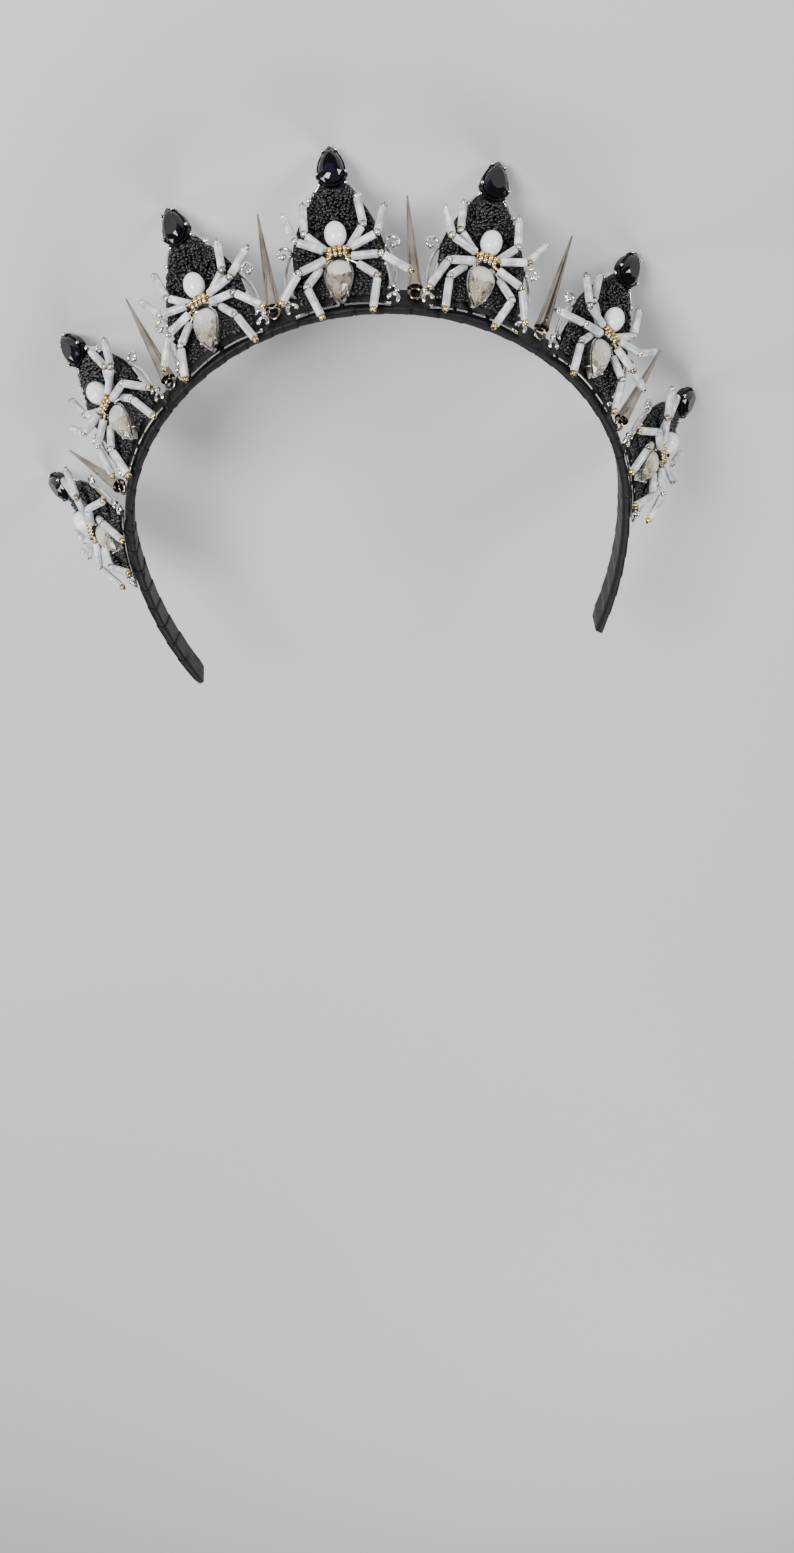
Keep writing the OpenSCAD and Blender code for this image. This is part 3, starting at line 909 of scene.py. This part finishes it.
def makeHead(number, place):
    rim = 0.98 * head["length"] / 2
    profile = [(head["bore"], -rim)]
    for k in range(19):
        a = math.radians(-81 + 9 * k)
        profile.append((head["width"] / 2 * math.cos(a), head["length"] / 2 * math.sin(a)))
    profile.append((head["bore"], rim))
    oval = turnedShape(f"headOval_{number}", profile, 40, whiteOval)
    oval.data.transform(place @ (Matrix.Translation((0, head["up"], head["out"])) @ turned(-90, "X")))
    return oval


waistShape = roundShape("waistShape", waist["bead"], waist["hole"], waist["length"])
for number, row in enumerate(layout["plaques"], 1):
    place = onSpider(row)
    goldRow, paleRow = (waistRow(place, *given) for given in waist["rows"])
    spiderPieces[number - 1].update({
        "golds": strung(f"waistBeads_{number}", goldRow, waistShape, 60 + number, goldBead),
        "pales": strung(f"collarBeads_{number}", paleRow, waistShape, 80 + number, paleGoldBead),
        "head": makeHead(number, place),
    })
drop(waistShape)
print("waists and heads set")

# The field of black beads on each plaque, with lengths in mm where no unit is given

field = {
    "halfWidth": 12.6,
    "topWidth": 4.2,
    "shoulder": 14.0,
    "height": 34,
    "bow": 1.6,  # how the sides curve in above the shoulder
    "top": 33.0,
    "edge": 0.6,  # how far the bead middles stay inside the plate's edge
    "rail": 0.8,
    "aboveRail": 0.3,
    "level": 1.12,
    "backing": (0.9, 0.3),  # its foot and its thickness
    "spacing": 0.79 * mm,
    "bead": 1.3 * mm,
    "hole": 0.22 * mm,
    "length": 0.95 * mm,
    "sizes": (0.86, 1.12),
    "leastTilt": 0.5,
    "tilt": 1.5,
    "tuftLevel": 2.15,
    # across, up and radius of each raised tuft
    "tufts": (
        (-5.6, 21.5, 3.2), (5.6, 21.5, 3.2), (0, 27.6, 4.6), (-10.2, 6.5, 2.4), (10.2, 6.5, 2.4),
        (-8.4, 13, 2.2), (8.4, 13, 2.2),
    ),
}


def beadFieldTree():
    tree, given, result = newTree("beadField", [
        ("Bead", "Object"), ("Spacing", "Float"), ("Tilt", "Float"), ("Seed", "Int"),
        ("Material", "Material"),
    ])
    seed = given["Seed"]
    density = calc(tree, "MULTIPLY", calc(tree, "POWER", given["Spacing"], -2.0), 4.0)
    points = firstOf(tree, "GeometryNodeDistributePointsOnFaces", {
        "Mesh": given["Geometry"], "Distance Min": given["Spacing"], "Density Max": density, "Seed": seed,
    }, distribute_method="POISSON")
    lean = randomFloat(tree, field["leastTilt"], given["Tilt"], seed)
    spin = randomFloat(tree, 0.0, fullTurn, calc(tree, "ADD", seed, 17.0))
    size = randomFloat(tree, *field["sizes"], seed)
    beads = beadsOn(tree, given, points, turnBy(tree, combine(tree, lean, z=spin)), size)
    return endTree(tree, beads, given, result)


def halfWidthAt(up):
    if up <= field["shoulder"]:
        return field["halfWidth"] - field["edge"]
    share = ((up - field["shoulder"]) / (field["height"] - field["shoulder"])) ** field["bow"]
    return field["topWidth"] + (field["halfWidth"] - field["topWidth"]) * (1 - share) - field["edge"]


def footLine(x):
    # where the hoop's face, with the rail's room, crosses the plaque
    fall = x * x / (2 * layout["archRadius"] / mm)
    rise = field["rail"] - layout["footLift"] / mm - fall
    return rise / math.cos(math.radians(layout["lean"])) + field["aboveRail"]


def fieldOutline():
    foot = [(x, footLine(x)) for x in (-11.2, -8, -4, 0, 4, 8, 11.2)]
    rightSide = [(halfWidthAt(v), v) for v in (6, 11, 14, 18, 22, 25, 28, 30.5, field["top"])]
    return foot + rightSide + [(-x, v) for x, v in reversed(rightSide)]


def bedOfBeads(name):
    # the flat bed and its raised tufts, which the beads are scattered on
    work = bmesh.new()
    work.faces.new([work.verts.new((x * mm, v * mm, field["level"] * mm)) for x, v in fieldOutline()])
    for x, v, radius in field["tufts"]:
        angles = [a / 8 * math.pi for a in range(16)]
        ring = [(x + radius * math.cos(a), v + radius * math.sin(a), field["tuftLevel"]) for a in angles]
        work.faces.new([work.verts.new([c * mm for c in point]) for point in ring])
    bmesh.ops.triangulate(work, faces=work.faces)
    return objectFrom(name, work)


def feltBacking(name):
    foot, thickness = field["backing"]
    work = bmesh.new()
    made = work.faces.new([work.verts.new((x * mm, v * mm, foot * mm)) for x, v in fieldOutline()])
    grown = bmesh.ops.extrude_face_region(work, geom=[made])
    raised = [part for part in grown["geom"] if isinstance(part, bmesh.types.BMVert)]
    bmesh.ops.translate(work, verts=raised, vec=(0, 0, thickness * mm))
    bmesh.ops.recalc_face_normals(work, faces=work.faces)
    return objectFrom(name, work, hoopLining)


fieldTree = beadFieldTree()
seedShape = roundShape("seedShape", field["bead"], field["hole"], field["length"], 8, 4)
fields = []
for number, row in enumerate(layout["plaques"], 1):
    beads = bedOfBeads(f"beadField_{number}")
    runTree(beads, fieldTree, {
        "Bead": seedShape, "Spacing": field["spacing"], "Tilt": field["tilt"], "Seed": 100 + number,
        "Material": blackBead,
    })
    backing = feltBacking(f"beadBacking_{number}")
    for piece in (beads, backing):
        piece.data.transform(onPlaque(row))
    fields.append((beads, backing))
drop(seedShape, tube, kneeShape, knotShape)
print("bead fields sewn")

# The foil under each clear stone, in mm

stone = {
    "halfWidth": 3.55,
    "point": 8.6,
    "up": 7.65,
    "out": 1.8,
    "sides": 12,
    "floor": 0.6,
    # each ring of corners, from the rim to the keel: its share of the outline, its height and its shift
    "rings": ((0.93, 1.2, 0.0), (0.6, 0.75, 0.5), (0.22, 0.25, 0.0)),
    # the facets with a painted highlight, white as the stone's table lit by a lamp: the middle and half
    # width of their patch, and how far down they go
    "glint": (-0.3, 2.7, 0.5),
    "tones": (0.05, 0.25, 0.4, 0.55, 0.75),
}


def pearAt(share, r, point):
    flank = (r * r + point * point) / (2 * r)
    side = -1 if share > 0.5 else 1
    quarter = 4 * (1 - share if share > 0.5 else share)
    if quarter < 1:
        bow = math.asin(point / flank) * (1 - quarter)
        return Vector((side * (flank * math.cos(bow) - flank + r), flank * math.sin(bow), 0))
    turn = math.radians(90 * (quarter - 1))
    return Vector((side * r * math.cos(turn), -r * math.sin(turn), 0))


def makeFoil(number, row):
    r, point, sides = stone["halfWidth"], stone["point"], stone["sides"]
    middle = Vector((0, point / 5, 0))
    points = []
    for share, height, shift in stone["rings"]:
        for k in range(sides):
            spot = (pearAt((k + shift) / sides % 1.0, r, point) - middle) * share + middle
            points.append((spot + Vector((0, 0, stone["floor"] + height))) * mm)
    faces = []
    for ring in range(2):
        for k in range(sides):
            a, b = ring * sides + k, ring * sides + (k + 1) % sides
            c, d = a + sides, b + sides
            faces += [(a, b, c), (b, d, c)] if ring == 0 else [(a, b, d), (a, d, c)]
    faces.append(tuple(2 * sides + k for k in range(sides)))
    mesh = meshOf(f"stoneFoil_{number}", points, faces)
    work = bmesh.new()
    work.from_mesh(mesh)
    for face in work.faces:  # the bright side looks up through the stone
        if face.normal.z < 0:
            face.normal_flip()
    work.to_mesh(mesh)
    work.free()
    # each facet has its own random brightness, and the ones by the round end get a painted highlight, the
    # brightest
    tones = mesh.attributes.new("tone", "FLOAT", "FACE")
    dice = random.Random(number)
    across, halfPatch, lowest = stone["glint"]
    for face in mesh.polygons:
        spot = face.center / mm
        # facets inside this patch are given the painted highlight
        bright = abs(spot.x - across) < halfPatch and spot.y < lowest
        tones.data[face.index].value = 1.0 if bright else dice.choice(stone["tones"])
    place = Matrix.Translation((0, stone["up"] * mm, stone["out"] * mm)) @ turned(180)
    mesh.transform(onSpider(row) @ aboutWaist(row.abdomenTurn) @ place)
    return makeObject(f"stoneFoil_{number}", mesh, stoneFoil)


foils = [makeFoil(number, row) for number, row in enumerate(layout["plaques"], 1)]
print("stones foiled")

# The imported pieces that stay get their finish, by where their faces lie (mm)

finish = {
    "waistReach": 1.25,
    "waistSide": 2.6,
    "waistOut": (2.6, 5.6),
    "cupTop": 11.8,
    "cupReach": 5,
    "plateLevels": (0, 0.8),
    "settingFoot": 33.2,
    "settingOut": 2.6,
    "blackStoneUp": 37.4,
    "settingRadius": 4.5,
    "railLift": (-0.1, 0.75),  # off the hoop's face
    "railOut": (0.82, 1.45),
    "railSide": 12.95,
}


def finishNode(name, *materials):
    data = cadNodes[name].data
    data.materials.clear()
    for material in materials:
        data.materials.append(material)
    return data


def finishFrame(number, row):
    # gold wires, a silver cup for the clear stone, a black bead that stops the head's wire, and a waist
    # block painted dark, a painted shade between its beads
    data = finishNode(f"spider_frame_{number}", goldMetal, silverMetal, blackBead, darkMetal)
    back = onSpider(row).inverted()
    low, high = finish["waistOut"]
    for face in data.polygons:
        local = back @ face.center
        up, side, out = local.y / mm, abs(local.x) / mm, local.z / mm
        fromWaist = abs(up - layout["waistUp"] / mm)
        # the waist block is painted dark, as shade between the waist beads
        if fromWaist < finish["waistReach"] and side < finish["waistSide"] and low < out < high:
            face.material_index = 3
        elif up < finish["cupTop"] and side < finish["cupReach"] and out < finish["cupReach"]:
            face.material_index = 1
        elif local.y > head["up"] + head["length"] / 2 and side < 1:
            face.material_index = 2


def finishPlate(number, row):
    # the plate's flat and the black stone's setting are dark, and scrolls, prong tips and back stay bright
    data = finishNode(f"filigree_{number}", silverMetal, darkMetal, threadedRail)
    back = onPlaque(row).inverted()
    turnBack = back.to_3x3()
    levels = [(back @ vert.co).z / mm for vert in data.vertices]
    for face in data.polygons:
        local = back @ face.center
        up, side, out = local.y / mm, abs(local.x) / mm, local.z / mm
        lift = (math.hypot(face.center.x, face.center.y - layout["archY"]) - layout["archRadius"]) / mm
        onRail = finish["railLift"][0] < lift < finish["railLift"][1] and side < finish["railSide"]
        flat = all(
            min(abs(levels[k] - level) for level in finish["plateLevels"]) < 0.02 for k in face.vertices
        )
        stoneUp = finish["blackStoneUp"]
        beside = up > stoneUp or math.hypot(side, up - stoneUp) < finish["settingRadius"]
        if onRail and finish["railOut"][0] < out < finish["railOut"][1]:
            face.material_index = 2
        elif up > finish["settingFoot"] and out < finish["settingOut"] and beside:
            face.material_index = 1
        elif flat and (turnBack @ face.normal).z > -0.5:
            face.material_index = 1


for number, row in enumerate(layout["plaques"], 1):
    finishPlate(number, row)
    finishFrame(number, row)
    finishNode(f"black_stone_{number}", blackCrystal)
    finishNode(f"clear_stone_{number}", clearCrystal)
for number in range(1, len(layout["spikes"]) + 1):
    finishNode(f"spike_{number}", spikeMetal)
print("packed pieces finished")

# Every piece rides on the one body and stands for its node

pieceSlots = {
    "tubes": "white_glass", "knees": "silver", "tips": "gold_wire", "knots": "black_beads",
    "golds": "gold_wire", "pales": "gold_wire", "head": "white_bead",
}
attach(core, "root")
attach(ribbon, "root")
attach(boundThreads, "root")
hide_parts("band")
for number, pieces in enumerate(spiderPieces, 1):
    for key, slotName in pieceSlots.items():
        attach(pieces[key], "root")
    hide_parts(f"leg_beads_{number}")
    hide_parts(f"head_bead_{number}")
for number, (beads, backing) in enumerate(fields, 1):
    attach(beads, "root")
    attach(backing, "root")
    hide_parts(f"beadwork_{number}")
for foil in foils:
    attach(foil, "root")
print("pieces placed")

# Floor, light and camera

studio = {
    "floorSize": 5.0,
    "floorColour": (0.56, 0.565, 0.575),
    "world": (0.80, 0.83, 0.87),
    "worldStrength": 0.16,
    "aim": (0, 0, 0.03),
    # each softbox: place, size, power
    "boxes": [
        ((-0.5, 0.7, 0.9), 0.5, 21.0),
        ((0.85, 0.5, 0.5), 0.35, 7.0),
        ((0.15, -0.9, 0.75), 0.5, 9.0),
        ((-0.95, -0.15, 0.4), 0.3, 4.0),
    ],
}

floorMat, floorTree, floorShader = newMaterial("paleTable")
pale = studio["floorColour"]
floorCloud = noiseAt(floorTree, objectCoords(floorTree), 3.0, 3)
colourBy(floorTree, floorShader, floorCloud, [(0.3, tuple(0.97 * c for c in pale)), (0.7, pale)])
setSockets(floorShader, {"Roughness": 0.7})
s = studio["floorSize"]
floorCorners = [(-s, -s, 0), (s, -s, 0), (s, s, 0), (-s, s, 0)]
floor = makeObject("floor", meshOf("floor", floorCorners, [(0, 1, 2, 3)]), floorMat)

world = bpy.data.worlds.new("studio")
bpy.context.scene.world = world
world.use_nodes = True
background = {"Color": (*studio["world"], 1), "Strength": studio["worldStrength"]}
setSockets(world.node_tree.nodes["Background"], background)
for index, (place, size, power) in enumerate(studio["boxes"]):
    light = bpy.data.lights.new(f"softbox{index}", "AREA")
    light.shape = "SQUARE"
    light.size = size
    light.energy = power
    lamp = bpy.data.objects.new(light.name, light)
    lamp.location = place
    lamp.rotation_euler = (Vector(studio["aim"]) - Vector(place)).to_track_quat("-Z", "Y").to_euler()
    bpy.context.scene.collection.objects.link(lamp)

view = {
    "place": (0.0145, 0.3074, 0.4719),
    "right": (0.9913, -0.1134, 0.0662),
    "up": (0.1266, 0.6922, -0.7105),
    "film": (36 * 794 / 1553, 36),
    "lens": 36 * 1800 / 1553,
}
eye = bpy.data.cameras.new("camera")
eye.sensor_fit = "VERTICAL"
eye.sensor_width, eye.sensor_height = view["film"]
eye.lens = view["lens"]
eye.clip_start = 0.01
camera = bpy.data.objects.new("camera", eye)
bpy.context.scene.collection.objects.link(camera)
right = Vector(view["right"]).normalized()
upward = Vector(view["up"])
upward = (upward - right * upward.dot(right)).normalized()
turn = Matrix((right, upward, right.cross(upward))).transposed()
camera.matrix_world = Matrix.Translation(view["place"]) @ turn.to_4x4()
bpy.context.scene.camera = camera
print("studio set")

bpy.context.view_layer.update()
